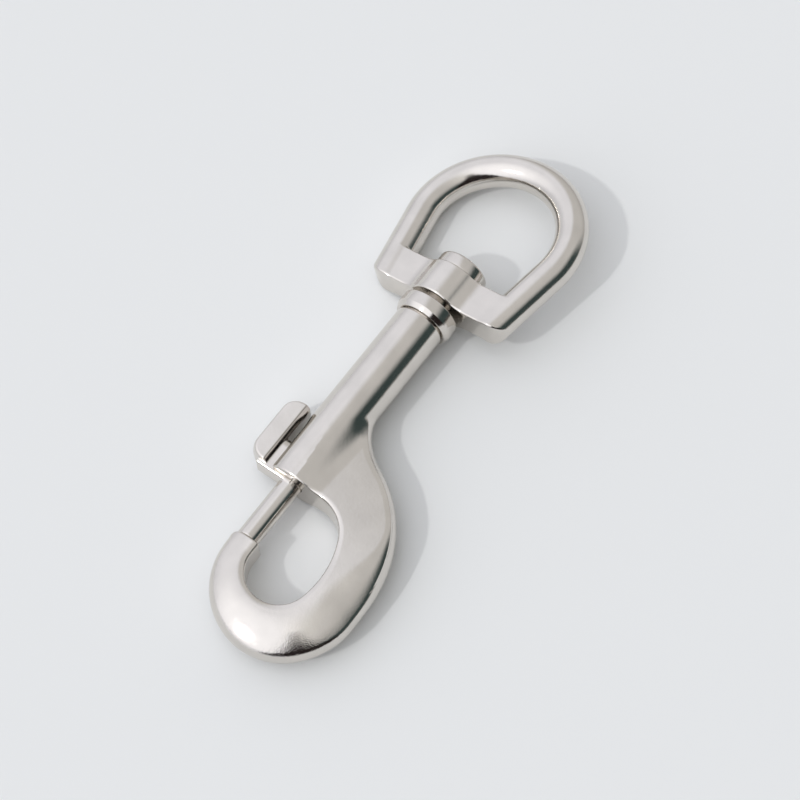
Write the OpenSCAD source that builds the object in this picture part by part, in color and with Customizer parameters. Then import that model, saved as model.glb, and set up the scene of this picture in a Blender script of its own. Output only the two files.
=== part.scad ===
// Swivel snap hook: a cast hook with a spring bolt and a swivelling strap eye.
// The bolt's axis is the line y = 0. The eye end is at +X, the thumb tab at +Y,
// and the origin is the middle of the gate. The hook lies on its flat side.

/* [Barrel] */
// Outside diameter of the spring barrel
barrel_d = 9.4; // [8.6:0.1:11]
// Length of the barrel, from its open front to the swivel
barrel_len = 37.7; // [34:0.1:48]
// Length of the thumb slot, which is open at the barrel's front
slot_len = 12.2; // [10:0.1:16]
// Width of the thumb slot
slot_w = 4.6; // [4.4:0.1:5.4]

/* [Hook] */
// Length of the gate, from the nose seat to the barrel's front
gate_len = 12.5; // [10:0.1:15]
// Radius of the opening's round end beside the barrel
near_r = 7.6; // [6.5:0.1:8.5]
// Distance of that round end's centre from the bolt's axis
near_drop = 6.3; // [5.5:0.1:7]
// Radius of the opening's round end beside the nose
far_r = 5.8; // [5:0.1:6.6]
// Radius of the opening's long side, opposite the gate
belly_r = 17; // [12:0.5:30]
// Distance of the nose's inner face from the bolt's axis
nose_in = 3; // [2.4:0.1:3.4]
// How far the nose reaches past the far round end's centre
nose_reach = 2; // [1.2:0.1:3]
// Width of the hook along its long side
side_w = 10; // [8:0.1:11]
// Width of the hook at its heel
heel_w = 9; // [7.5:0.1:10]
// Width of the hook at its toe, the far end
toe_w = 7.9; // [6:0.1:9]
// Width of the nose
nose_w = 5.5; // [4.4:0.1:6.2]
// Thickness of the hook round its bend
bend_thick = 8; // [7:0.1:9]
// Thickness of the nose
nose_thick = 6.4; // [5.6:0.1:7]
// Height of the flat land round the outside edge
outer_land = 3; // [2.4:0.1:4.2]
// How much lower the bend is at the rim of the opening
rim_drop = 0.45; // [0.2:0.05:0.8]
// How far behind the barrel's front the palm leaves the barrel
palm_len = 20.7; // [18:0.1:26]
// How far behind the barrel's front the palm's outline turns from hollow to full
waist_back = 10.1; // [8:0.1:12]
// Distance of that turning point from the bolt's axis
waist_drop = 12.5; // [11:0.1:14]

/* [Bolt] */
// Diameter of the round bolt
bolt_d = 4.1; // [3.6:0.1:4.4]
// Clearance between the bolt and its bore, on each side
bolt_gap = 0.08; // [0.05:0.01:0.1]
// Clearance between the bolt's tip and the nose when the gate is shut
seat_gap = 0.05; // [0.02:0.01:0.1]
// Length of the bolt inside the barrel
bolt_tail = 12.6; // [11:0.1:16]
// Chamfer of the bolt's two ends
bolt_chamfer = 0.4; // [0.2:0.05:0.6]
// Length of the neck that joins the bolt and the thumb tab, behind the barrel's front
neck_len = 6.4; // [5:0.1:8]
// How far the neck stands ahead of the barrel's front
neck_ahead = 0.4; // [0:0.1:0.8]
// Clearance between the neck and the slot, on each side
neck_gap = 0.3; // [0.2:0.05:0.5]
// Length of the thumb tab
tab_len = 12.5; // [10:0.1:15]
// Width of the thumb tab across the slot
tab_w = 6; // [5:0.1:7]
// Thickness of the thumb tab at its middle
tab_thick = 4.4; // [3:0.1:5]
// How much thinner the tab is along its two long edges
tab_crown = 0.6; // [0.4:0.1:1.4]
// Radius of the tab's two outer corners
tab_round = 2.6; // [1.5:0.1:3.5]
// Height of the tab's sloped underside, which widens from the neck to the tab's full width
tab_flare = 0.7; // [0.3:0.1:1.2]
// Clearance between the barrel and the thumb tab
tab_gap = 0.5; // [0.4:0.1:1.5]
// How far the tab's front end stands behind the barrel's front
tab_back = 0.15; // [0:0.05:1]

/* [Spring] */
// Diameter of the spring's wire
wire_d = 0.5; // [0.4:0.05:0.6]
// Turns of the spring
spring_turns = 9; // [6:1:12]
// Clearance between the spring and its bore, on each side
spring_gap = 0.15; // [0.1:0.05:0.3]

/* [Swivel] */
// Length of the stud's plug inside the barrel
plug_len = 7; // [5:0.1:10]
// Diameter of the stud's flange
flange_d = 11.2; // [10.4:0.1:12]
// Length of the flange, its bevel with it
flange_len = 3.3; // [2.6:0.1:4]
// Length of the bevel on the flange's barrel side
flange_bevel = 0.9; // [0.6:0.1:1.2]
// Depth of the seam between the barrel and the flange
seam = 0.2; // [0.1:0.05:0.3]
// Diameter of the shank that the eye turns on
shank_d = 5.2; // [4.6:0.1:6]
// Clearance between the shank and the eye, on each side
shank_gap = 0.08; // [0.05:0.01:0.1]
// Play of the eye along the shank
eye_play = 1; // [0.4:0.1:1.4]
// Clearance between the eye and the stud's head at rest
head_gap = 0.05; // [0.03:0.01:0.1]
// Diameter of the stud's riveted head
head_d = 9.8; // [8.6:0.1:10.4]
// Length of the head
head_len = 2.6; // [2:0.1:3.2]

/* [Eye] */
// Diameter of the eye's round bar
bar_d = 6.1; // [5.2:0.1:6.8]
// Inside diameter of the eye's round end
eye_in_d = 22.7; // [20:0.1:26]
// Distance from the eye's base to the centre of its round end
eye_reach = 15.3; // [13:0.1:20]
// Angle of each leg to the axis, in degrees
leg_taper = 10; // [6:1:12]
// Length of the eye's base along the axis
base_len = 6.8; // [6:0.1:8]
// Thickness of the base's flat strap
base_thick = 5.6; // [5:0.1:6]
// Diameter of the hub in the middle of the base
hub_d = 10.8; // [9.8:0.1:11.2]
// Radius of the hollow between the hub and the legs
hub_fillet = 5; // [3:0.1:6]
// Angle that the eye has turned about the axis as it lies, in degrees
eye_roll = -11.9; // [-16:0.1:0]

/* [Hidden] */
$fn = 64;

NICKEL = [0.80, 0.79, 0.77];
STEEL = [0.70, 0.70, 0.70];

// Steps along each stretch of the hook and across its section
HOLLOW_STEPS = 7;
SIDE_STEPS = 11;
BEND_STEPS = 22;
ACROSS = [0, 0.06, 0.15, 0.27, 0.4, 0.54, 0.68, 0.8, 0.89, 0.95, 0.985, 1];
TRIM = 0.5;
THROUGH = 20;

barrel_r = barrel_d / 2;
front_x = gate_len / 2;
seat_x = -gate_len / 2;
barrel_end_x = front_x + barrel_len;
bore_r = bolt_d / 2 + bolt_gap;

near_c = [front_x - near_r, -near_drop];
far_c = [seat_x - nose_reach, -nose_in - far_r];
side_y = near_c.y - near_r - side_w;

// The centre of the opening's long side, whose arc touches both round ends
gap = far_c - near_c;
near_reach = belly_r - near_r;
far_reach = belly_r - far_r;
belly_along = (near_reach * near_reach - far_reach * far_reach + gap * gap) / (2 * norm(gap));
belly_across = sqrt(near_reach * near_reach - belly_along * belly_along);
belly_c = near_c + (belly_along * gap + belly_across * [gap.y, -gap.x]) / norm(gap);

flange_x = barrel_end_x + seam;
eye_x = flange_x + flange_len + eye_play;
eye_back_x = eye_x + base_len;
head_x = eye_back_x + head_gap;
bar_r = bar_d / 2;
eye_mid_r = eye_in_d / 2 + bar_r;
eye_c_x = eye_x + eye_reach + bar_r;
corner_r = bar_r + 0.1;
corner_y = eye_mid_r / cos(leg_taper) - (eye_c_x - eye_x - corner_r) * tan(leg_taper);
neck_w = slot_w - 2 * neck_gap;
tab_y = barrel_r + tab_gap;
bolt_front_x = seat_x + seat_gap;
bolt_back_x = front_x + bolt_tail;
plug_x = barrel_end_x - plug_len;

// The hook lies on its barrel's front and on the flange, so its axis slopes a little
lie_slope = asin((flange_d / 2 - barrel_r) / (flange_x + flange_len - front_x));

module laid() {
    rotate([0, -lie_slope, 0]) children();
}

function mix(a, b, t) = a + (b - a) * t;
function ease(t) = let (c = max(0, min(1, t))) c * c * (3 - 2 * c);
function bezier(p, t) =
    pow(1 - t, 3) * p[0] + 3 * t * pow(1 - t, 2) * p[1] + 3 * t * t * (1 - t) * p[2] + pow(t, 3) * p[3];
function bezier_way(p, t) =
    pow(1 - t, 2) * (p[1] - p[0]) + 2 * t * (1 - t) * (p[2] - p[1]) + t * t * (p[3] - p[2]);
function smooth_max(a, b, k) = (a + b + sqrt((a - b) * (a - b) + k * k)) / 2;

// How far a crowned surface has dropped at a share t of the way from its edge
function drop(t, round) =
    let (s = 1 - max(0, min(1, t))) mix(s * s, 1 - sqrt(1 - s * s), round);

// The palm's outside edge: a hollow stretch out of the barrel, then a full one
ROOT_Y = 0.2 - barrel_r;
ROOT_LEAD = 6.4;
WAIST_LEAD = [1.9, 3.5];
WAIST_TRAIL = [2.7, 4.9];
SIDE_LEAD = 12;
waist = [front_x + waist_back, -waist_drop];
root = [front_x + palm_len, ROOT_Y];
side_end = [(near_c.x + far_c.x) / 2, side_y];
hollow_edge = [root, root - [ROOT_LEAD, 0], waist + WAIST_LEAD, waist];
full_edge = [waist, waist - WAIST_TRAIL, side_end + [SIDE_LEAD, 0], side_end];

// Half thickness of the palm at a point, above the bolt's axis. It thins to the root, where
// the edge is tight, and its outside edge grows rounder towards the bend.
PALM_POWER = 1.8;
ROOT_CREST = 1;
ROOT_LAND = 0.8;
LAND_RAMP = 26;
BENT_RAMP = 10;
PALM_EDGE_RUN = 1.9;
PALM_WALL_RUN = 0.9;
PALM_RIM_DROP = 0.3;
BEND_EDGE_SHARE = 0.78;
BEND_WALL_RUN = 1.3;
BEND_ROUND = 0.2;
BARREL_BLEND = 1.1;
BLEND_SINK = 0.35;
start_w = far_c.y - far_r - side_y;
function wall_distance(p) =
    p.y > near_c.y ? p.x - front_x
    : p.x > near_c.x + near_r / 4 ? norm(p - near_c) - near_r
    : norm(p - belly_c) - belly_r;
function barrel_height(y) =
    let (r = barrel_r - BLEND_SINK) abs(y) < r ? sqrt(r * r - y * y) : 0;
function palm_height(p, edge_gap) =
    let (share = max(0, (p.x - seat_x) / (root.x - seat_x)),
        bent = ease((front_x - p.x) / BENT_RAMP),
        crest = mix(bend_thick / 2, ROOT_CREST, pow(share, PALM_POWER)),
        land = mix(ROOT_LAND, outer_land / 2, ease((root.x - p.x) / LAND_RAMP)),
        edge_run = mix(PALM_EDGE_RUN, BEND_EDGE_SHARE * start_w, bent),
        wall_run = mix(PALM_WALL_RUN, BEND_WALL_RUN, bent),
        edge = drop(edge_gap / edge_run, mix(1, BEND_ROUND, bent)) * (crest - land),
        wall = drop(wall_distance(p) / wall_run, 1) * mix(PALM_RIM_DROP, rim_drop, bent))
    smooth_max(crest - wall - edge, barrel_height(p.y), BARREL_BLEND);

// One row across the palm, from inside the barrel or the opening to the outside edge
function palm_inside(x) =
    x > front_x - TRIM
        ? -barrel_r / 4
        : near_c.y - sqrt(max(0, near_r * near_r - pow(x - near_c.x, 2))) + TRIM;
function palm_row(edge, t) =
    let (q = bezier(edge, t),
        way = bezier_way(edge, t),
        lean = abs(way.x) / norm(way),
        inside = palm_inside(q.x))
    [for (v = ACROSS)
        let (y = mix(inside, q.y, v))
        [q.x, y, palm_height([q.x, y], (y - q.y) * lean)]];

// Width and half thickness of the bend, by the angle round the far end of the opening
HEEL_AT = 45;
TOE_AT = 90;
NOSE_AT = 180;
WIDTH_POWER = 1.6;
function bend_width(a) =
    a < HEEL_AT ? mix(start_w, heel_w, ease(a / HEEL_AT))
    : a < TOE_AT ? mix(heel_w, toe_w, pow((a - HEEL_AT) / (TOE_AT - HEEL_AT), WIDTH_POWER))
    : mix(nose_w, toe_w, pow((NOSE_AT - a) / (NOSE_AT - TOE_AT), WIDTH_POWER));
function bend_crest(a) =
    mix(bend_thick / 2, nose_thick / 2, ease((a - TOE_AT) / (NOSE_AT - TOE_AT)));
function bend_height(u, width, crest) =
    crest
    - drop((width - u) / (BEND_EDGE_SHARE * width), BEND_ROUND) * (crest - outer_land / 2)
    - drop(u / BEND_WALL_RUN, 1) * rim_drop;
function bend_row(a) =
    let (way = [cos(-90 - a), sin(-90 - a)],
        width = bend_width(a))
    [for (v = ACROSS)
        let (u = mix(-TRIM, width, v),
            q = far_c + (far_r + u) * way)
        [q.x, q.y, bend_height(u, width, bend_crest(a))]];

// The nose runs straight on to its seat. Its outer corner and its rim are rounded there.
NOSE_CORNER = 1.3;
NOSE_RIM = 0.4;
NOSE_STEPS = 3;
function nose_row(turn) =
    [for (v = ACROSS)
        let (u = mix(-TRIM, nose_w - NOSE_CORNER * (1 - cos(turn)), v))
        [seat_x - NOSE_CORNER * (1 - sin(turn)), u - nose_in,
            bend_height(u, nose_w, nose_thick / 2) - NOSE_RIM * (1 - cos(turn))]];

hook_rows = [
    for (i = [0 : HOLLOW_STEPS - 1]) palm_row(hollow_edge, i / HOLLOW_STEPS),
    for (i = [0 : SIDE_STEPS]) palm_row(full_edge, i / SIDE_STEPS),
    for (i = [0 : BEND_STEPS]) bend_row(NOSE_AT * i / BEND_STEPS),
    for (i = [0 : NOSE_STEPS]) nose_row(90 * i / NOSE_STEPS)
];

// A solid between a grid of heights and its mirror image below the plane z = 0
module mirrored_skin(rows) {
    n = len(rows);
    m = len(rows[0]);
    top = [for (row = rows, p = row) p];
    bottom = [for (p = top) [p.x, p.y, -p.z]];
    function at(i, j) = i * m + j;
    function under(i, j) = n * m + i * m + j;
    polyhedron(
        points = concat(top, bottom),
        faces = concat(
            [for (i = [0 : n - 2], j = [0 : m - 2], f = [
                [at(i, j), at(i + 1, j + 1), at(i + 1, j)],
                [at(i, j), at(i, j + 1), at(i + 1, j + 1)],
                [under(i, j), under(i + 1, j), under(i + 1, j + 1)],
                [under(i, j), under(i + 1, j + 1), under(i, j + 1)]]) f],
            [for (i = [0 : n - 2], f = [
                [at(i + 1, 0), under(i + 1, 0), under(i, 0), at(i, 0)],
                [under(i, m - 1), under(i + 1, m - 1), at(i + 1, m - 1), at(i, m - 1)]]) f],
            [[for (j = [m - 1 : -1 : 0]) at(0, j), for (j = [0 : m - 1]) under(0, j)],
                [for (j = [0 : m - 1]) at(n - 1, j), for (j = [m - 1 : -1 : 0]) under(n - 1, j)]]),
        convexity = 6);
}

// What is cut for the opening: two round ends, the long side that touches both, and the gate.
// Each later cut ends a hair inside the one before, so that each face is cut once.
HAIR = 0.03;
module opening() {
    function beyond(c) = c + near_r * (c - belly_c) / norm(c - belly_c);
    translate([0, 0, -THROUGH]) {
        translate(near_c) cylinder(h = 2 * THROUGH, r = near_r);
        translate(far_c) cylinder(h = 2 * THROUGH, r = far_r);
        intersection() {
            translate(belly_c) cylinder(h = 2 * THROUGH, r = belly_r - HAIR);
            linear_extrude(2 * THROUGH) polygon([near_c, beyond(near_c), beyond(far_c), far_c]);
        }
        linear_extrude(2 * THROUGH) polygon([
            near_c, far_c, [far_c.x, -nose_in - HAIR], [seat_x, -nose_in - HAIR],
            [seat_x, THROUGH], [front_x - HAIR, THROUGH], [front_x - HAIR, near_c.y]]);
    }
}

module along_x(from, to, r1, r2) {
    translate([from, 0, 0]) rotate([0, 90, 0]) cylinder(h = to - from, r1 = r1, r2 = r2);
}

module hook_body() laid() color(NICKEL) difference() {
    union() {
        difference() {
            mirrored_skin(hook_rows);
            opening();
        }
        along_x(front_x, barrel_end_x, barrel_r, barrel_r);
    }
    along_x(front_x - 1, barrel_end_x + 1, bore_r, bore_r);
    translate([front_x - 1, 0, -slot_w / 2]) cube([slot_len + 1 - slot_w / 2, THROUGH, slot_w]);
    translate([front_x + slot_len - slot_w / 2, 0, 0])
        rotate([-90, 0, 0]) cylinder(h = THROUGH, d = slot_w);
}

// Radius of a circle whose arc over a chord rises by a given height
function arc_radius(chord, rise) = (chord * chord / 4 + rise * rise) / (2 * rise);

// The thumb tab is a crowned strip with round outer corners. It overhangs its neck to the rear.
module thumb_tab() {
    cross_r = arc_radius(tab_w, tab_crown);
    half = tab_len / 2;
    straight = half - tab_round;
    intersection() {
        translate([0, 0, -tab_w]) linear_extrude(2 * tab_w) {
            translate([-half, 0]) square([tab_len, tab_thick - tab_round]);
            translate([-straight, 0]) square([2 * straight, tab_thick]);
            for (side = [-1, 1])
                translate([side * straight, tab_thick - tab_round]) circle(tab_round);
        }
        translate([-tab_len, 0, 0]) rotate([90, 0, 90]) linear_extrude(2 * tab_len) intersection() {
            translate([tab_thick - cross_r, 0]) circle(cross_r);
            polygon([
                [0, -neck_w / 2], [tab_flare, -tab_w / 2], [tab_thick, -tab_w / 2],
                [tab_thick, tab_w / 2], [tab_flare, tab_w / 2], [0, neck_w / 2]]);
        }
    }
}

module bolt() laid() color(NICKEL) {
    bolt_r = bolt_d / 2;
    neck_y = tab_y + tab_thick / 4;
    neck_run = neck_ahead + neck_len - neck_w / 2;
    neck_end_x = front_x + neck_len - neck_w / 2;
    along_x(bolt_front_x, bolt_front_x + bolt_chamfer, bolt_r - bolt_chamfer, bolt_r);
    along_x(bolt_front_x + bolt_chamfer, bolt_back_x - bolt_chamfer, bolt_r, bolt_r);
    along_x(bolt_back_x - bolt_chamfer, bolt_back_x, bolt_r, bolt_r - bolt_chamfer);
    translate([front_x - neck_ahead, 0, -neck_w / 2]) cube([neck_run, neck_y, neck_w]);
    translate([neck_end_x, 0, 0]) rotate([-90, 0, 0]) cylinder(h = neck_y, d = neck_w);
    translate([front_x + tab_back + tab_len / 2, tab_y, 0]) thumb_tab();
}

// The spring is one round wire swept along a helix from the bolt's tail to the plug
SPRING_STEPS = 14;
WIRE_SIDES = 6;
module spring() laid() color(STEEL) {
    mean_r = bore_r - spring_gap - wire_d / 2;
    from = bolt_back_x + wire_d / 2;
    run = plug_x - wire_d / 2 - from;
    steps = spring_turns * SPRING_STEPS;
    ring = [for (i = [0 : steps], k = [0 : WIRE_SIDES - 1])
        let (a = 360 * i / SPRING_STEPS,
            b = 360 * k / WIRE_SIDES,
            r = mean_r + wire_d / 2 * cos(b))
        [from + run * i / steps + wire_d / 2 * sin(b), r * cos(a), r * sin(a)]];
    polyhedron(
        points = ring,
        faces = concat(
            [for (i = [0 : steps - 1], k = [0 : WIRE_SIDES - 1], f = [
                [i * WIRE_SIDES + k, i * WIRE_SIDES + (k + 1) % WIRE_SIDES,
                    (i + 1) * WIRE_SIDES + k],
                [i * WIRE_SIDES + (k + 1) % WIRE_SIDES, (i + 1) * WIRE_SIDES + (k + 1) % WIRE_SIDES,
                    (i + 1) * WIRE_SIDES + k]]) f],
            [[for (k = [WIRE_SIDES - 1 : -1 : 0]) k],
                [for (k = [0 : WIRE_SIDES - 1]) steps * WIRE_SIDES + k]]),
        convexity = 8);
}

// The stud in one turned outline: plug, bevelled flange, shank and riveted head
module swivel_stud() laid() color(NICKEL) {
    flange_r = flange_d / 2;
    head_r = head_d / 2;
    back_x = flange_x + flange_len;
    seam_r = barrel_r - 0.5;
    rim = 0.25;
    crown = 0.5;
    rotate([0, 90, 0]) rotate_extrude() polygon([
        [0, plug_x], [bore_r, plug_x], [bore_r, barrel_end_x], [seam_r, barrel_end_x],
        [seam_r, flange_x], [flange_r - 0.5, flange_x],
        [flange_r, flange_x + flange_bevel], [flange_r, back_x - rim], [flange_r - rim, back_x],
        [shank_d / 2, back_x], [shank_d / 2, head_x], [head_r - rim, head_x],
        [head_r, head_x + rim], [head_r, head_x + head_len - crown],
        [head_r - crown, head_x + head_len], [0, head_x + head_len]]);
}

// The section of the eye's base: a hub that thins to a flat strap through two hollows
module base_section() {
    hub_r = hub_d / 2;
    strap_r = base_thick / 2;
    hollow_y = sqrt(pow(hub_r + hub_fillet, 2) - pow(strap_r + hub_fillet, 2));
    touch_z = hub_r * (strap_r + hub_fillet) / (hub_r + hub_fillet);
    difference() {
        union() {
            circle(hub_r);
            square([2 * hollow_y, 2 * touch_z], center = true);
        }
        for (sy = [-1, 1], sz = [-1, 1])
            translate([sy * hollow_y, sz * (strap_r + hub_fillet)]) circle(hub_fillet);
    }
    square([2 * corner_y, base_thick], center = true);
}

// The eye's legs and base seen from above, with the base's two front corners rounded
CORNER_STEPS = 6;
module base_plan() {
    function corner(side) = [for (i = [0 : CORNER_STEPS])
        let (a = mix(180, 90 + leg_taper, i / CORNER_STEPS))
        [eye_x + corner_r + corner_r * cos(a), side * (corner_y + corner_r * sin(a))]];
    reach = eye_c_x - eye_x;
    left = corner(1);
    right = corner(-1);
    spread = reach * tan(leg_taper);
    polygon(concat(
        [for (i = [CORNER_STEPS : -1 : 0]) right[i]], left,
        [left[CORNER_STEPS] + [reach, spread], right[CORNER_STEPS] + [reach, -spread]]));
}

module swivel_eye() laid() rotate([eye_roll, 0, 0]) color(NICKEL) difference() {
    union() {
        translate([eye_c_x, 0, 0]) rotate([0, 0, -90 - leg_taper])
            rotate_extrude(angle = 180 + 2 * leg_taper) translate([eye_mid_r, 0]) circle(bar_r);
        intersection() {
            union() {
                for (side = [-1, 1])
                    translate([eye_c_x, 0, 0]) rotate([0, 0, side * (90 + leg_taper)])
                        translate([eye_mid_r, 0, 0]) rotate([-side * 90, 0, 0])
                            cylinder(h = 2 * eye_reach, r = bar_r);
                translate([eye_x, 0, 0]) rotate([90, 0, 90]) linear_extrude(base_len) base_section();
            }
            translate([0, 0, -THROUGH]) linear_extrude(2 * THROUGH) base_plan();
        }
    }
    along_x(eye_x - 1, eye_back_x + 1, shank_d / 2 + shank_gap, shank_d / 2 + shank_gap);
}

hook_body();
bolt();
spring();
swivel_stud();
swivel_eye();
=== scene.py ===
import math
import bpy
import numpy as np
from mathutils import Matrix, Vector


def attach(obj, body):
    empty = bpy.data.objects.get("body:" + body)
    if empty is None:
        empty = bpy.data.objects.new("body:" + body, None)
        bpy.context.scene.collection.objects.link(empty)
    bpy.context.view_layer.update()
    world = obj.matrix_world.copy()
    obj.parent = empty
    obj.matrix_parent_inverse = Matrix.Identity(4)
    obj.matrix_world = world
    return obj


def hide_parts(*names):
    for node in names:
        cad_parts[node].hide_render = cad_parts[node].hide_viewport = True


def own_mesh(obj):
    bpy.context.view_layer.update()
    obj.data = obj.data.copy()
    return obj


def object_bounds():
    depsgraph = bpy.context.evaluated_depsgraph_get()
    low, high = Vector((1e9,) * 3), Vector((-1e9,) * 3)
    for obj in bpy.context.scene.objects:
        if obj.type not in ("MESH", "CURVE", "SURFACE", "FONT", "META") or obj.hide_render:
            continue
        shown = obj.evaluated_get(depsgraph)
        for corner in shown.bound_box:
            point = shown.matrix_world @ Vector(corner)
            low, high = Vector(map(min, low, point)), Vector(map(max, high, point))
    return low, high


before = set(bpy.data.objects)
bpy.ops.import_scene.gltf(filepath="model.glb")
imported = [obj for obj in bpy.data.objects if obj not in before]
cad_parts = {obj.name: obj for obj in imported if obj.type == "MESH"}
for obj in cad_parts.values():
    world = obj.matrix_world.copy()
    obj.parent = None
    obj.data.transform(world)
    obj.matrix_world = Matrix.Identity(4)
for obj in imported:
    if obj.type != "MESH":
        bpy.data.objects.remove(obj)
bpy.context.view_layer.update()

MM = 0.001

# Sizes in millimetres, most of them as the solids have them. X runs along the bolt's axis
# towards the eye, Y towards the thumb tab and Z up, from the middle of the gate.

# Barrel, with its bore and its thumb slot
BARREL_R = 4.7
FRONT_X = 6.25
BARREL_END_X = 43.95
BARREL_EDGE = 0.25
BORE_R = 2.13
SLOT_END_X = 18.45
SLOT_HALF = 2.3
MOUTH_EDGE = 0.2

# The hook's opening: two round ends, the arc of the long side, the gate and the throat
NEAR = (-1.35, -6.3)
NEAR_R = 7.6
NEAR_FROM_X = NEAR[0] - NEAR_R / 4
FAR = (-8.25, -8.8)
FAR_R = 5.8
BELLY = (-5.6, 2.08)
BELLY_R = 17.0
SEAT_X = -6.25
NOSE_IN = 3.0
THROAT_R = 0.35
OPENING_EDGE = 0.35

# The hook's outside edge, and the pulls of the two curves that meet at its waist
ROOT_X = 26.95
ROOT_Y = -4.5
ROOT_PULL = 6.4
WAIST = np.array([16.35, -12.5])
WAIST_PULL_UP = (1.9, 3.5)
WAIST_PULL_DOWN = (2.7, 4.9)
SIDE_END = (-4.8, -23.9)
SIDE_PULL = 12
NOSE_TOP = 2.5
NOSE_ROUND = 1.3
EDGE_START_X = 60

# Widths round the bend, and the degrees from the palm's end at which they apply
PALM_END_W = 9.3
HEEL_W = 9.0
HEEL_AT = 45
TOE_W = 7.9
TOE_AT = 90
NOSE_W = 5.5
WIDTH_POWER = 1.6

# Half heights: the palm's at its root, the bend's and the nose's, and that of the outside edge
ROOT_CREST = 1.0
CREST = 4.0
CREST_X = -6
CREST_POWER = 1.8
NOSE_CREST = 3.2
LAND = (0.8, 1.5)
LAND_OVER = 26

# The palm's section, then the bend's, and the length over which one turns into the other
TURN_X = 9
TURN_OVER = 16
RIM_DROP = (0.3, 0.45)
RIM_RUN = (0.9, 1.3)
PALM_RUN = 1.9
BEND_RUN_SHARE = 0.78
OUTER_ROUND = (1.0, 0.2)
ROUND_AT = 130
ROUND_OVER = 35
STEEPEST = 0.985
PALM_TOP_Y = -2.4
SWELL = 0.15
SWELL_HALF = 2.2
SWELL_OVER = 2
MELD = (0.1, 2.4)
MELD_OVER = 8

# Bolt, with its neck and thumb tab
BOLT_R = 2.05
BOLT_TIP_X = -6.2
BOLT_BACK_X = 18.85
BOLT_EDGE = 0.45
NECK_X = 5.65
NECK_BACK_X = 10.65
NECK_HALF = 2.0
NECK_TOP = 7
NECK_FILLET = 0.3
TAB_X = 12.65
TAB_HALF_LENGTH = 6.25
TAB_HALF_WIDTH = 3.0
TAB_UNDER = 5.2
TAB_ROUND = 2.6
TAB_EDGE = 0.35
TAB_FILLET = 0.2
CROWN_Y = 2.1
CROWN_R = 7.5
FLARE_HALF = 1.95
FLARE_SLOPE = 1.5
FLARE_SCALE = 1.8
FLARE_EDGE = 0.15

# Stud and spring
PLUG_X = 36.95
SEAM_R = 4.2
FLANGE_X = 44.15
FLANGE_FRONT_R = 5.1
FLANGE_BEVEL = 0.9
FLANGE_R = 5.6
FLANGE_END_X = 47.45
SHANK_R = 2.6
HEAD_X = 55.3
HEAD_R = 4.9
HEAD_LENGTH = 2.6
SPRING_R = 1.73
SPRING_TURNS = 9
WIRE_R = 0.25

# Swivel eye
EYE_X = 48.45
EYE_BACK_X = 55.25
EYE_HOLE_X = 51.85
EYE_HOLE_R = 2.68
EYE_HOLE_HALF = 6
EYE_C_X = 66.8
EYE_MID_R = 14.395
BAR_R = 3.045
LEG_AT = math.radians(100)
TAPER = math.radians(10)
HUB_R = 5.4
STRAP_HALF = 2.8
VALLEY_R = 5
STRAP_PROUD = 0.4
STRAP_CORNER = 3.2
STRAP_EDGE = 0.3
STRAP_SIDE_EDGE = 0.35
BAR_FILLET = 0.4
EYE_HOLE_EDGE = 0.25

# How the whole lies: the eye's roll, and the slope from the barrel's front to the flange's rim
EYE_ROLL = math.radians(-11.9)
LIE = math.asin((FLANGE_R - BARREL_R) / (FLANGE_END_X - FRONT_X))

# How far the barrel, a cut and the palm run on past the face where they end, and a distance
# that nothing on the part reaches
BARREL_PAST = 3
PAST = 1
NEVER = 99.0


# Rounded solids, made from fields of signed distance
def mix(a, b, t):
    return a + (b - a) * t


def ease(t):
    t = np.clip(t, 0, 1)
    return t * t * (3 - 2 * t)


def join(a, b, r):
    """A union with a fillet of radius r."""
    return np.maximum(r, np.minimum(a, b)) - np.hypot(np.maximum(r - a, 0), np.maximum(r - b, 0))


def meld(a, b, k):
    """A union whose crossing is filled softly, over a width k of the difference."""
    h = np.maximum(k - np.abs(a - b), 0) / k
    return np.minimum(a, b) - h * h * k / 4


def both(a, b, r):
    """What two forms share, with its edge rounded to radius r."""
    return np.minimum(-r, np.maximum(a, b)) + np.hypot(np.maximum(a + r, 0), np.maximum(b + r, 0))


def slope(field, p):
    e = 0.02
    ways = np.eye(3) * e
    return np.stack([(field(*(p + d).T) - field(*(p - d).T)) / (2 * e) for d in ways], axis=1)


def settle(field, p, rounds, reach):
    """Moves points onto the surface along its slope, by at most reach in each round."""
    least_slope = 0.2
    for _ in range(rounds):
        g = slope(field, p)
        move = -field(*p.T)[:, None] * g / np.maximum((g * g).sum(1), least_slope)[:, None]
        far = np.linalg.norm(move, axis=1)[:, None]
        p = p + move * np.minimum(1, reach / np.maximum(far, 1e-9))
    return p


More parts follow.
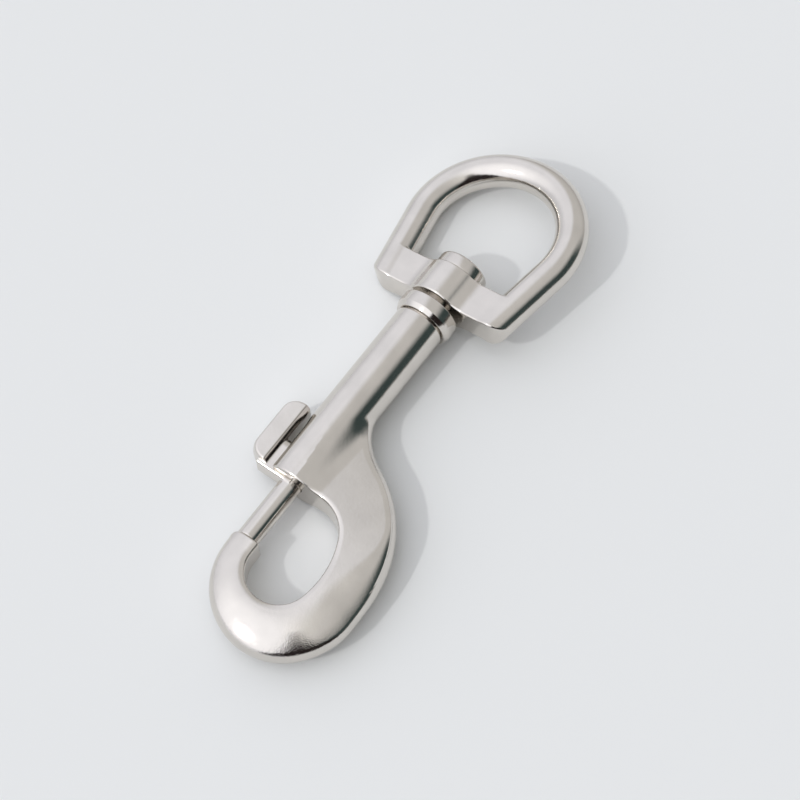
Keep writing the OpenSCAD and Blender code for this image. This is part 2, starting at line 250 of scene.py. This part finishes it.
def net(field, low, high, step):
    """Points and quads on the surface where a field is zero, one point for each grid cell."""
    low = np.array(low, float)
    size = np.ceil((np.array(high) - low) / step).astype(int) + 1
    xs, ys, zs = (low[i] + step * np.arange(size[i]) for i in range(3))
    yy, zz = np.meshgrid(ys, zs, indexing="ij")
    v = np.empty(size)
    for i, x in enumerate(xs):
        v[i] = field(np.full(yy.size, x), yy.ravel(), zz.ravel()).reshape(yy.shape)
    inside = v < 0
    corners = [(a, b, c) for a in (0, 1) for b in (0, 1) for c in (0, 1)]
    last = size - 1
    count = sum(inside[a:last[0] + a, b:last[1] + b, c:last[2] + c].astype(int)
                for a, b, c in corners)
    cells = np.argwhere((count > 0) & (count < 8))
    number = np.full(last, -1)
    number[tuple(cells.T)] = np.arange(len(cells))
    total = np.zeros((len(cells), 3))
    hits = np.zeros(len(cells))
    for a in corners:
        for b in corners:
            if sum(b) - sum(a) != 1 or any(q < p for p, q in zip(a, b)):
                continue
            va, vb = (v[tuple((cells + np.array(c)).T)] for c in (a, b))
            on = (va < 0) != (vb < 0)
            t = np.where(on, va / np.where(on, va - vb, 1), 0)
            at = np.array(a) + t[:, None] * (np.array(b) - np.array(a))
            total += np.where(on[:, None], at, 0)
            hits += on
    p = low + (cells + total / hits[:, None]) * step
    quads = []
    unit = np.eye(3, dtype=int)
    for axis in range(3):
        u, w = [i for i in range(3) if i != axis]
        first = [slice(None)] * 3
        second = [slice(None)] * 3
        first[axis] = slice(0, last[axis])
        second[axis] = slice(1, size[axis])
        for i in (u, w):
            first[i] = second[i] = slice(1, last[i])
        a, b = inside[tuple(first)], inside[tuple(second)]
        for out, on in ((1, a & ~b), (-1, b & ~a)):
            at = np.argwhere(on) + unit[u] + unit[w]
            ring = [number[tuple((at - s * unit[u] - t * unit[w]).T)]
                    for s, t in ((1, 1), (0, 1), (0, 0), (1, 0))]
            if out * (-1 if axis == 1 else 1) < 0:
                ring = ring[::-1]
            quads.append(np.stack(ring, axis=1))
    return p, np.concatenate(quads)


def relax(p, quads):
    """Moves each point most of the way to the mean of its neighbours."""
    total = np.zeros_like(p)
    hits = np.zeros(len(p))
    for i in range(4):
        for j in (1, 3):
            other = quads[:, (i + j) % 4]
            for k in range(3):
                total[:, k] += np.bincount(quads[:, i], p[other, k], len(p))
            hits += np.bincount(quads[:, i], minlength=len(p))
    return mix(p, total / hits[:, None], 0.6)


def turned(p, roll=0.0):
    """From the bolt's own axis to the shared frame: the eye's roll, then the slope of the lie."""
    m = Matrix.Rotation(-LIE, 3, "Y") @ Matrix.Rotation(roll, 3, "X")
    return p @ np.array(m).T


def piece(name, p, faces, normals, body, node, material, roll=0.0):
    mesh = bpy.data.meshes.new(name)
    mesh.from_pydata((turned(p, roll) * MM).tolist(), [], faces)
    mesh.polygons.foreach_set("use_smooth", [True] * len(mesh.polygons))
    if normals is not None:
        mesh.normals_split_custom_set_from_vertices(turned(normals, roll).tolist())
    mesh.materials.append(material)
    obj = bpy.data.objects.new(name, mesh)
    bpy.context.scene.collection.objects.link(obj)
    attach(obj, body)
    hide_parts(node)
    return obj


def solid(name, field, low, high, step, body, node, roll=0.0):
    """A piece from a field, looked for between two corners of a box, with the field's normals."""
    p, quads = net(field, low, high, step)
    p = settle(field, p, 3, step)
    for _ in range(3):
        p = settle(field, relax(p, quads), 2, step / 2)
    n = slope(field, p)
    n /= np.linalg.norm(n, axis=1)[:, None]
    piece(name, p, quads.tolist(), n, body, node, NICKEL, roll)


# Nodes, for the materials and for the world
def is_socket(value):
    return isinstance(value, bpy.types.NodeSocket)


def add(tree, kind, inputs, **settings):
    """A node with its settings, and its inputs, each a value or another node's output."""
    n = tree.nodes.new("ShaderNode" + kind)
    for key, value in settings.items():
        setattr(n, key, value)
    for key, value in inputs.items():
        if is_socket(value):
            tree.links.new(value, n.inputs[key])
        else:
            n.inputs[key].default_value = value
    return n


def ramp(tree, value, low, high, to_low=0.0, to_high=1.0, kind="SMOOTHSTEP"):
    ends = {"From Min": low, "From Max": high, "To Min": to_low, "To Max": to_high}
    n = add(tree, "MapRange", {"Value": value, **ends}, interpolation_type=kind)
    return n.outputs["Result"]


def maths(tree, operation, a, b):
    return add(tree, "Math", {0: a, 1: b}, operation=operation).outputs[0]


def blend(tree, factor, a, b):
    a, b = (c if is_socket(c) else (*c, 1) for c in (a, b))
    inputs = {"Factor": factor, "A": a, "B": b}
    return add(tree, "Mix", inputs, data_type="RGBA").outputs["Result"]


def noise(tree, scale, detail, rough=0.5):
    where = add(tree, "TexCoord", {}).outputs["Object"]
    inputs = {"Vector": where, "Scale": scale, "Detail": detail, "Roughness": rough}
    return add(tree, "TexNoise", inputs).outputs["Fac"]


def varied(tree, value, low, high):
    """Spreads a noise, which lies mostly between 0.3 and 0.7, from low to high."""
    return ramp(tree, value, 0.3, 0.7, low, high, "LINEAR")


# Materials
GREY_NICKEL = (0.70, 0.665, 0.62)
SPRING_STEEL = (0.55, 0.55, 0.56)
FINE_CRINKLE = 0.000009


def metal(name, colour, rough):
    """A metal whose colour and roughness vary a little from place to place."""
    material = bpy.data.materials.new(name)
    material.use_nodes = True
    tree = material.node_tree
    shader = tree.nodes["Principled BSDF"]
    shader.inputs["Metallic"].default_value = 1.0
    tint = blend(tree, varied(tree, noise(tree, 220, 3), 0, 1),
                 [c * 0.95 for c in colour], [min(1, c * 1.03) for c in colour])
    tree.links.new(tint, shader.inputs["Base Color"])
    tree.links.new(varied(tree, noise(tree, 300, 5, 0.6), *rough), shader.inputs["Roughness"])
    return material


def bumps(material, layers):
    """Layers of bumps, one on the other: each a height and its depth in metres."""
    tree = material.node_tree
    under = {}
    for height, depth in layers:
        bump = add(tree, "Bump", {"Strength": 1.0, "Distance": depth, "Height": height, **under})
        under = {"Normal": bump.outputs["Normal"]}
    tree.links.new(under["Normal"], tree.nodes["Principled BSDF"].inputs["Normal"])


def nickel(name, rough, wave, grain=0.0):
    material = metal(name, GREY_NICKEL, rough)
    tree = material.node_tree
    layers = [(noise(tree, 160, 2), wave), (noise(tree, 1900, 4), FINE_CRINKLE)]
    if grain:
        # The bend is cast rougher than the rest, more so on its slopes than on top
        place = add(tree, "SeparateXYZ", {0: add(tree, "TexCoord", {}).outputs["Object"]}).outputs
        bend = ramp(tree, place["X"], -0.008, -0.016, kind="LINEAR")
        steep = ramp(tree, place["Z"], 0.0033, 0.002, 0.3, 1.0, "LINEAR")
        cast = maths(tree, "MULTIPLY", bend, steep)
        layers.append((maths(tree, "MULTIPLY", noise(tree, 4200, 2), cast), grain))
    bumps(material, layers)
    return material


NICKEL = nickel("nickel_cast", (0.09, 0.16), 0.000006, 0.00003)
NICKEL_SMOOTH = nickel("nickel_turned", (0.09, 0.15), 0.000003)
SPRING = metal("spring_wire", SPRING_STEEL, (0.3, 0.4))
bumps(SPRING, [(noise(SPRING.node_tree, 2500, 3), 0.000004)])


# Hook body
def bezier(p, count):
    p = np.array(p, float)
    t = np.linspace(0, 1, count)[:, None]
    rest = 1 - t
    return rest ** 3 * p[0] + 3 * t * rest ** 2 * p[1] + 3 * t * t * rest * p[2] + t ** 3 * p[3]


def bend_width(a):
    """The hook's width at an angle a round the bend, 0 at the palm's end and 180 at the nose."""
    palm = mix(PALM_END_W, HEEL_W, ease(a / HEEL_AT))
    heel = mix(HEEL_W, TOE_W, np.clip((a - HEEL_AT) / (TOE_AT - HEEL_AT), 0, 1) ** WIDTH_POWER)
    toe = mix(NOSE_W, TOE_W, (2 - a / TOE_AT) ** WIDTH_POWER)
    return np.where(a < HEEL_AT, palm, np.where(a < TOE_AT, heel, toe))


def outside_edges():
    """The outside edge twice, as the palm's part sees it and as the bend's part does."""
    hollow = bezier([(ROOT_X, ROOT_Y), (ROOT_X - ROOT_PULL, ROOT_Y), WAIST + WAIST_PULL_UP, WAIST],
                    200)
    full = bezier([WAIST, WAIST - WAIST_PULL_DOWN, (SIDE_END[0] + SIDE_PULL, SIDE_END[1]),
                   SIDE_END], 260)
    side = np.linspace(SIDE_END, (FAR[0], SIDE_END[1]), 30)
    around = np.linspace(0, 180, 500)
    way = np.radians(-90 - around)
    out = FAR_R + bend_width(around)
    bend = np.array(FAR) + np.stack([np.cos(way), np.sin(way)], axis=1) * out[:, None]
    turn = np.radians(np.linspace(90, 0, 30))
    tip = np.stack([SEAT_X - NOSE_ROUND + NOSE_ROUND * np.cos(turn),
                    NOSE_TOP - NOSE_ROUND + NOSE_ROUND * np.sin(turn)], axis=1)
    return (np.concatenate([[(EDGE_START_X, ROOT_Y)], hollow, full[1:], side[1:]]),
            np.concatenate([full, side[1:], bend[1:], tip]))


def resampled(line, count):
    run = np.concatenate([[0], np.cumsum(np.linalg.norm(np.diff(line, axis=0), axis=1))])
    at = np.linspace(0, run[-1], count)
    return np.stack([np.interp(at, run, line[:, 0]), np.interp(at, run, line[:, 1])], axis=1)


def line_distance(x, y, line):
    """Signed distance to a line, positive on its right-hand side as it runs."""
    stride, reach = 16, 20
    q = np.stack([x, y], axis=1)
    best = np.full(len(q), np.inf)
    where = np.zeros(len(q), int)
    for i, c in enumerate(line[::stride]):
        d = ((q - c) ** 2).sum(1)
        nearer = d < best
        best[nearer] = d[nearer]
        where[nearer] = i * stride
    result = np.full(len(q), np.inf)
    for k in range(-reach, reach):
        i = np.clip(where + k, 0, len(line) - 2)
        a, b = line[i], line[i + 1]
        ab, aq = b - a, q - a
        t = np.clip((ab * aq).sum(1) / (ab * ab).sum(1), 0, 1)
        d = np.linalg.norm(aq - t[:, None] * ab, axis=1)
        left = ab[:, 0] * aq[:, 1] - ab[:, 1] * aq[:, 0]
        closer = d < np.abs(result) - 1e-9
        result = np.where(closer, np.where(left < 0, d, -d), result)
    return result


# A grid of distances to the outside edge, worked out once
PLAN_LOW = np.array([-24.0, -26.0])
PLAN_STEP = 0.15
PLAN_SIZE = (480, 220)
gx, gy = (PLAN_LOW[i] + PLAN_STEP * np.arange(PLAN_SIZE[i]) for i in (0, 1))
px, py = (g.ravel() for g in np.meshgrid(gx, gy, indexing="ij"))
by_palm, by_hook = (line_distance(px, py, resampled(edge, 1600)) for edge in outside_edges())
plan = np.where(px > NEAR[0] + 2, by_palm, by_hook).reshape(PLAN_SIZE)


def edge_distance(x, y):
    """The plan's distance at any point, by cubic steps between its grid points."""
    u = np.clip((x - PLAN_LOW[0]) / PLAN_STEP, 1, PLAN_SIZE[0] - 3)
    w = np.clip((y - PLAN_LOW[1]) / PLAN_STEP, 1, PLAN_SIZE[1] - 3)
    i, j = u.astype(int), w.astype(int)

    def shares(t):
        return [((-t + 2) * t - 1) * t / 2, ((3 * t - 5) * t * t + 2) / 2,
                ((-3 * t + 4) * t + 1) * t / 2, ((t - 1) * t * t) / 2]
    su, sw = shares(u - i), shares(w - j)
    return sum(su[a] * sw[b] * plan[i + a - 1, j + b - 1] for a in range(4) for b in range(4))


def opening_distance(x, y):
    """Distance outside the hook's opening in plan: two round ends, the long side and the gate."""
    def block(x0, x1, y0, y1):
        dx, dy = np.maximum(x0 - x, x - x1), np.maximum(y0 - y, y - y1)
        return np.minimum(np.maximum(dx, dy), 0) + np.hypot(np.maximum(dx, 0), np.maximum(dy, 0))
    # The near end stops short of the nose, so that the nose keeps its straight seat
    near = np.hypot(x - NEAR[0], y - NEAR[1]) - NEAR_R
    near = np.where(x > NEAR_FROM_X, near, NEVER)
    ends = np.minimum(near, np.hypot(x - FAR[0], y - FAR[1]) - FAR_R)
    u, w, v = np.array(NEAR) - BELLY, np.array(FAR) - BELLY, (x - BELLY[0], y - BELLY[1])
    fan = (u[0] * v[1] - u[1] * v[0] < 0) & (v[0] * w[1] - v[1] * w[0] < 0)
    gap = (w - u) / np.hypot(*(w - u))
    above = (x - NEAR[0]) * gap[1] - (y - NEAR[1]) * gap[0]
    belly = np.where(fan, np.maximum(np.hypot(*v) - BELLY_R, above), NEVER)
    gate = block(SEAT_X, FRONT_X, NEAR[1], NEVER)
    throat = block(FAR[0], 0, FAR[1], -NOSE_IN)
    return np.minimum(np.minimum(ends, belly), join(gate, throat, THROAT_R))


def drop(t, roundness):
    """How far and how steeply the skin falls at a share t of its run in from an edge: as a
    parabola, or at roundness 1 as a circle."""
    s = np.clip(1 - t, 0, STEEPEST)
    root = np.sqrt(1 - s * s)
    peak = mix(STEEPEST ** 2, 1 - math.sqrt(1 - STEEPEST ** 2), roundness)
    fall = mix(s * s, 1 - root, roundness) / peak
    return fall, mix(2 * s, s / root, roundness) / peak


def palm_height(x, y, nose, bent, d_out, d_in):
    """The half height of the palm, bend and nose in plan, and how it stretches with its slope."""
    a = np.clip(np.degrees(np.arctan2(FAR[0] - x, FAR[1] - y)), 0, 180)
    a = np.where(nose, 180.0, a)
    share = np.clip((x - CREST_X) / (ROOT_X - CREST_X), 0, 1) ** CREST_POWER
    palm = np.where(x < CREST_X, CREST, mix(ROOT_CREST, CREST, 1 - share))
    crest = np.where(a > TOE_AT, mix(CREST, NOSE_CREST, ease((a - TOE_AT) / 90)), palm)
    land = mix(*LAND, ease((ROOT_X - x) / LAND_OVER))
    wall = crest - mix(*RIM_DROP, bent)
    width = bend_width(a)
    run_out = mix(PALM_RUN, BEND_RUN_SHARE * width, bent)
    run_in = mix(*RIM_RUN, bent)
    # Near the nose the outside edge is taken without the corner at its tip
    round_out = FAR_R + width - np.hypot(x - FAR[0], y - FAR[1])
    rounded = ease((a - ROUND_AT) / ROUND_OVER)
    from_out = np.where(nose, NOSE_TOP - y, mix(d_out, round_out, rounded))
    out, out_way = drop(from_out / run_out, mix(*OUTER_ROUND, bent))
    inn, inn_way = drop(np.where(nose, y + NOSE_IN, d_in) / run_in, 1.0)
    tilt = np.sqrt(1 + ((crest - land) * out_way / run_out) ** 2
                   + ((crest - wall) * inn_way / run_in) ** 2)
    return crest - (crest - land) * out - (crest - wall) * inn, tilt


def hook_field(x, y, z):
    d_out = edge_distance(x, y)
    d_in = opening_distance(x, y)
    nose = (x > FAR[0]) & (y > FAR[1]) & (x < 0)
    bent = np.where(nose | (x < FAR[0]), 1.0, ease((TURN_X - x) / TURN_OVER))
    height, tilt = palm_height(x, y, nose, bent, d_out, d_in)
    ends = np.maximum(x - BARREL_END_X, FRONT_X - BARREL_PAST - x)
    barrel = both(np.hypot(y, z) - BARREL_R, ends, BARREL_EDGE)
    top = np.maximum((np.abs(z) - height) / tilt, np.where(x > 0, y - PALM_TOP_Y, -NEVER))
    swell = SWELL * np.where(nose, ease((SEAT_X - x) / SWELL_OVER), 1.0)
    flank = swell * np.minimum(np.abs(z), SWELL_HALF) ** 2 - d_out
    soft = mix(*MELD, ease((ROOT_X - x) / MELD_OVER))
    slab = both(meld(top, barrel, soft), flank, BARREL_EDGE)
    slab = np.maximum(slab, x - ROOT_X - PAST)
    f = both(np.minimum(slab, barrel), -d_in, OPENING_EDGE)
    bore = np.maximum(np.hypot(y, z) - BORE_R, FRONT_X - PAST - x)
    f = both(f, -bore, MOUTH_EDGE)
    from_round = np.hypot(x - SLOT_END_X + SLOT_HALF, z)
    stadium = np.where(x < SLOT_END_X - SLOT_HALF, np.abs(z), from_round) - SLOT_HALF
    slot = np.maximum(np.maximum(stadium, -y), FRONT_X - PAST - x)
    return both(f, -slot, MOUTH_EDGE)


STEP = 0.25
solid("hook_casting", hook_field, (-23.5, -24.5, -5.2), (45, 5.5, 5.2), STEP,
      "casting", "hook_body")


# Bolt and thumb tab
def bolt_field(x, y, z):
    r = np.hypot(y, z)
    shaft = both(r - BOLT_R, np.maximum(BOLT_TIP_X - x, x - BOLT_BACK_X), BOLT_EDGE)
    neck = np.where(x < NECK_BACK_X, np.abs(z), np.hypot(x - NECK_BACK_X, z)) - NECK_HALF
    neck = both(neck, NECK_X - x, NECK_FILLET)
    neck = np.maximum(neck, np.maximum(-y, y - NECK_TOP))
    crown = np.hypot(y - CROWN_Y, z) - CROWN_R
    plate = both(crown, np.abs(x - TAB_X) - TAB_HALF_LENGTH, TAB_ROUND)
    flare = (np.abs(z) - FLARE_HALF - (y - TAB_UNDER) * FLARE_SLOPE) / FLARE_SCALE
    tab = both(both(plate, np.abs(z) - TAB_HALF_WIDTH, TAB_EDGE), flare, FLARE_EDGE)
    tab = both(tab, TAB_UNDER - y, TAB_FILLET)
    return join(join(shaft, neck, NECK_FILLET), tab, TAB_FILLET)


BOLT_STEP = 0.16
solid("bolt_casting", bolt_field, (-7, -2.8, -3.6), (20, 9.8, 3.6), BOLT_STEP, "bolt", "bolt")


# Swivel eye
LEG_X = EYE_C_X + EYE_MID_R * math.cos(LEG_AT)
LEG_Y = EYE_MID_R * math.sin(LEG_AT)


def eye_field(x, y, z):
    ay = np.abs(y)
    angle = np.arctan2(ay, x - EYE_C_X)
    ring = np.abs(np.hypot(x - EYE_C_X, y) - EYE_MID_R)
    along = (LEG_X - x) * math.cos(TAPER) + (LEG_Y - ay) * math.sin(TAPER)
    along = np.maximum(along, 0)
    leg_x, leg_y = LEG_X - along * math.cos(TAPER), LEG_Y - along * math.sin(TAPER)
    leg = np.hypot(x - leg_x, ay - leg_y)
    bar = np.hypot(np.where(angle < LEG_AT, ring, leg), z) - BAR_R
    # The hub's round runs out into the flat strap through a hollow that touches both
    hub = np.hypot(y, z) - HUB_R
    valley_z = STRAP_HALF + VALLEY_R
    valley_y = math.sqrt((HUB_R + VALLEY_R) ** 2 - valley_z ** 2)
    valley = VALLEY_R - np.hypot(valley_y - ay, valley_z - np.abs(z))
    strap = np.where(ay < valley_y, valley, np.abs(z) - STRAP_HALF)
    strap = np.where(ay * valley_z < np.abs(z) * valley_y, hub, strap)
    base = both(strap, x - EYE_BACK_X, STRAP_EDGE)
    centre_y = LEG_Y - (LEG_X - x) * math.tan(TAPER)
    base = both(base, ay - centre_y, STRAP_EDGE)
    f = join(base, bar, BAR_FILLET)
    outside = (ay - centre_y) * math.cos(TAPER) - BAR_R - STRAP_PROUD
    f = both(f, both(outside, EYE_X - x, STRAP_CORNER), STRAP_SIDE_EDGE)
    hole = np.maximum(np.hypot(y, z) - EYE_HOLE_R, np.abs(x - EYE_HOLE_X) - EYE_HOLE_HALF)
    return both(f, -hole, EYE_HOLE_EDGE)


solid("eye_casting", eye_field, (47.8, -18.5, -6), (84.5, 18.5, 6), STEP,
      "eye", "swivel_eye", EYE_ROLL)


# Stud
def arc_corner(before, at, after, radius):
    """The points of a corner rounded to a radius."""
    steps = 6
    a, b, c = (np.array(q, float) for q in (before, at, after))
    u, w = (a - b) / np.linalg.norm(a - b), (c - b) / np.linalg.norm(c - b)
    half = math.acos(np.clip(u @ w, -1, 1)) / 2
    reach = radius / math.tan(half)
    centre = b + (u + w) / np.linalg.norm(u + w) * radius / math.sin(half)
    start, end = b + u * reach - centre, b + w * reach - centre
    sweep = math.atan2(start[0] * end[1] - start[1] * end[0], start @ end)
    points = []
    for i in range(steps + 1):
        cos, sin = math.cos(sweep * i / steps), math.sin(sweep * i / steps)
        points.append(centre + [start[0] * cos - start[1] * sin, start[0] * sin + start[1] * cos])
    return points


def lathe(name, profile, body, node, material):
    """profile: (x, radius, corner radius), from one end on the axis to the other."""
    around = 128
    line = [np.array(profile[0][:2], float)]
    for a, b, c in zip(profile, profile[1:], profile[2:]):
        line += arc_corner(a[:2], b[:2], c[:2], b[2]) if b[2] else [np.array(b[:2], float)]
    line.append(np.array(profile[-1][:2], float))
    points = [(x, r * math.cos(t), r * math.sin(t)) for x, r in line[1:-1]
              for t in np.linspace(0, 2 * math.pi, around, endpoint=False)]
    points += [(line[0][0], 0, 0), (line[-1][0], 0, 0)]
    rows = len(line) - 2
    n = rows * around
    faces = []
    for i in range(rows - 1):
        for j in range(around):
            one, two = i * around + j, i * around + (j + 1) % around
            faces.append((one, two, two + around, one + around))
    faces += [(n, (j + 1) % around, j) for j in range(around)]
    faces += [(n + 1, n - around + j, n - around + (j + 1) % around) for j in range(around)]
    obj = piece(name, np.array(points), faces, None, body, node, material)
    obj.data.shade_smooth()
    obj.data.set_sharp_from_angle(angle=math.radians(40))


lathe("swivel_pin", [
    (PLUG_X, 0, 0), (PLUG_X, BORE_R, 0), (BARREL_END_X, BORE_R, 0),
    (BARREL_END_X, SEAM_R, 0), (FLANGE_X, SEAM_R, 0), (FLANGE_X, FLANGE_FRONT_R, 0.15),
    (FLANGE_X + FLANGE_BEVEL, FLANGE_R, 0.3), (FLANGE_END_X, FLANGE_R, 0.3),
    (FLANGE_END_X, SHANK_R, 0), (HEAD_X, SHANK_R, 0), (HEAD_X, HEAD_R, 0.2),
    (HEAD_X + HEAD_LENGTH, HEAD_R, 0.6), (HEAD_X + HEAD_LENGTH, 0, 0)],
    "casting", "swivel_stud", NICKEL_SMOOTH)


# Spring
def wound_spring():
    sides, steps = 12, SPRING_TURNS * 40
    along = np.linspace(0, 1, steps + 1)[:, None]
    turn = along * SPRING_TURNS * 2 * math.pi
    around = np.linspace(0, 2 * math.pi, sides, endpoint=False)[None]
    end_gap = WIRE_R + 0.05
    x = mix(BOLT_BACK_X + end_gap, PLUG_X - end_gap, along) + WIRE_R * np.sin(around)
    r = SPRING_R + WIRE_R * np.cos(around)
    p = np.stack([x, r * np.cos(turn), r * np.sin(turn)], axis=2).reshape(-1, 3)
    faces = []
    for i in range(steps):
        for k in range(sides):
            one, two = i * sides + k, i * sides + (k + 1) % sides
            faces.append((one, one + sides, two + sides, two))
    faces += [tuple(range(sides)), tuple(steps * sides + k for k in reversed(range(sides)))]
    return piece("coil_spring", p, faces, None, "casting", "spring", SPRING)


# The spring, with a mesh of its own
spring = wound_spring()
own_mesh(spring)


# Camera, matched to the photograph: AIM_X on the bolt's axis shows at the pixel AIM_PX
VIEW_AZ = math.radians(-54.2)
VIEW_EL = math.radians(65)
PHOTO_PX = 800
FOCAL_PX = 2000
PX_PER_MM = 5.75
AIM_X = 24.95
AIM_PX = (356, 404)
SENSOR = 36

back = np.array([math.sin(VIEW_AZ) * math.cos(VIEW_EL), -math.cos(VIEW_AZ) * math.cos(VIEW_EL),
                 math.sin(VIEW_EL)])
right = np.array([math.cos(VIEW_AZ), math.sin(VIEW_AZ), 0])
up = np.cross(back, right)
place = (np.array([AIM_X, 0, 0]) + back * (FOCAL_PX / PX_PER_MM)
         - right * (AIM_PX[0] - PHOTO_PX / 2) / PX_PER_MM
         + up * (AIM_PX[1] - PHOTO_PX / 2) / PX_PER_MM)
basis = turned(np.stack([right, up, back]))
place = turned(place[None])[0] * MM

data = bpy.data.cameras.new("camera")
data.sensor_width = SENSOR
data.lens = FOCAL_PX / PHOTO_PX * SENSOR
camera = bpy.data.objects.new("camera", data)
camera.matrix_world = Matrix([[*basis[:, i], place[i]] for i in range(3)] + [[0, 0, 0, 1]])
bpy.context.scene.collection.objects.link(camera)
bpy.context.scene.camera = camera

# Floor: a wide round of white paper
floor_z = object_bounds()[0][2]
bpy.ops.mesh.primitive_circle_add(vertices=96, radius=1.6, fill_type="NGON",
                                  location=(0.03, 0, floor_z))
floor = bpy.context.object
floor.name = "floor"
paper = bpy.data.materials.new("floor_paper")
paper.use_nodes = True
shader = paper.node_tree.nodes["Principled BSDF"]
shader.inputs["Roughness"].default_value = 0.75
shader.inputs["Base Color"].default_value = (0.815, 0.825, 0.815, 1)
floor.data.materials.append(paper)

# World, as the metal shows it: directions are an azimuth and an elevation in degrees
LIGHT_SIDE = (126, 0)
DIM_ROOM = (-95, 0)
GLOW_AT = (167, 52)
GLOW = 0.36
PERSON_AT = (-131, 0)
SKY_DIM = (0.66, 0.655, 0.65)
SKY_BRIGHT = (0.97, 0.985, 1.06)
ROOM_COLOUR = (0.05, 0.07, 0.07)
PERSON_COLOUR = (0.02, 0.015, 0.015)
BACKDROP = (0.86, 0.87, 0.88)

world = bpy.data.worlds.new("studio")
bpy.context.scene.world = world
world.use_nodes = True
tree = world.node_tree
tree.nodes.clear()


def direction(azimuth, elevation):
    a, e = math.radians(azimuth), math.radians(elevation)
    return math.cos(a) * math.cos(e), math.sin(a) * math.cos(e), math.sin(e)


def vectors(operation, inputs):
    return add(tree, "VectorMath", inputs, operation=operation).outputs


def dot(vector, way):
    return vectors("DOT_PRODUCT", {0: vector, 1: direction(*way)})["Value"]


def within(degrees):
    return math.cos(math.radians(degrees))


where = add(tree, "TexCoord", {}).outputs["Generated"]
split = add(tree, "SeparateXYZ", {0: where}).outputs
height = split["Z"]
flat = add(tree, "CombineXYZ", {"X": split["X"], "Y": split["Y"]}).outputs[0]
bearing = vectors("NORMALIZE", {0: flat})["Vector"]

# The light stands on the image's left. A dim room shows as a dark band low down on its right.
room = ramp(tree, dot(bearing, DIM_ROOM), 0.35, 0.75)
low = maths(tree, "MULTIPLY", ramp(tree, height, 0.03, 0.13), ramp(tree, height, 0.5, 0.85, 1, 0))
left = ramp(tree, dot(where, LIGHT_SIDE), -0.2, 0.14)
rise = ramp(tree, height, 0.0, 0.5, 0.78, 1.0)
sky = blend(tree, left, SKY_DIM, SKY_BRIGHT)
sky = blend(tree, rise, (0.0, 0.0, 0.0), sky)
sky = blend(tree, maths(tree, "MULTIPLY", room, low), sky, ROOM_COLOUR)

# The sky is brighter about the sun
glow = ramp(tree, dot(where, GLOW_AT), within(62), within(12), 0, GLOW)
white = add(tree, "CombineColor", {"Red": glow, "Green": glow, "Blue": glow}).outputs[0]
sky = vectors("ADD", {0: sky, 1: white})[0]

# The photographer shows as a dark shape below the camera, narrower towards the top
spread = ramp(tree, height, 0.0, 0.93, within(42), within(10))
person = ramp(tree, maths(tree, "SUBTRACT", dot(bearing, PERSON_AT), spread), -0.01, 0.03)
person = maths(tree, "MULTIPLY", person, ramp(tree, height, 0.935, 0.965, 1, 0))
person = maths(tree, "MULTIPLY", person, ramp(tree, height, 0.02, 0.12))
sky = blend(tree, person, sky, PERSON_COLOUR)

# The camera itself sees a plain backdrop beyond the floor
seen = add(tree, "LightPath", {}).outputs["Is Camera Ray"]
background = add(tree, "Background", {"Color": blend(tree, seen, sky, BACKDROP)})
add(tree, "OutputWorld", {"Surface": background.outputs[0]})

# Sun
SUN_AZ = math.radians(158)
SUN_EL = math.radians(45)
key = bpy.data.lights.new("key", "SUN")
key.energy = 0.62
key.angle = math.radians(2.5)
lamp = bpy.data.objects.new("key", key)
aim = Vector((math.cos(SUN_AZ), math.sin(SUN_AZ), math.tan(SUN_EL)))
lamp.rotation_euler = aim.to_track_quat("Z", "Y").to_euler()
bpy.context.scene.collection.objects.link(lamp)

bpy.context.scene.view_settings.view_transform = "Standard"
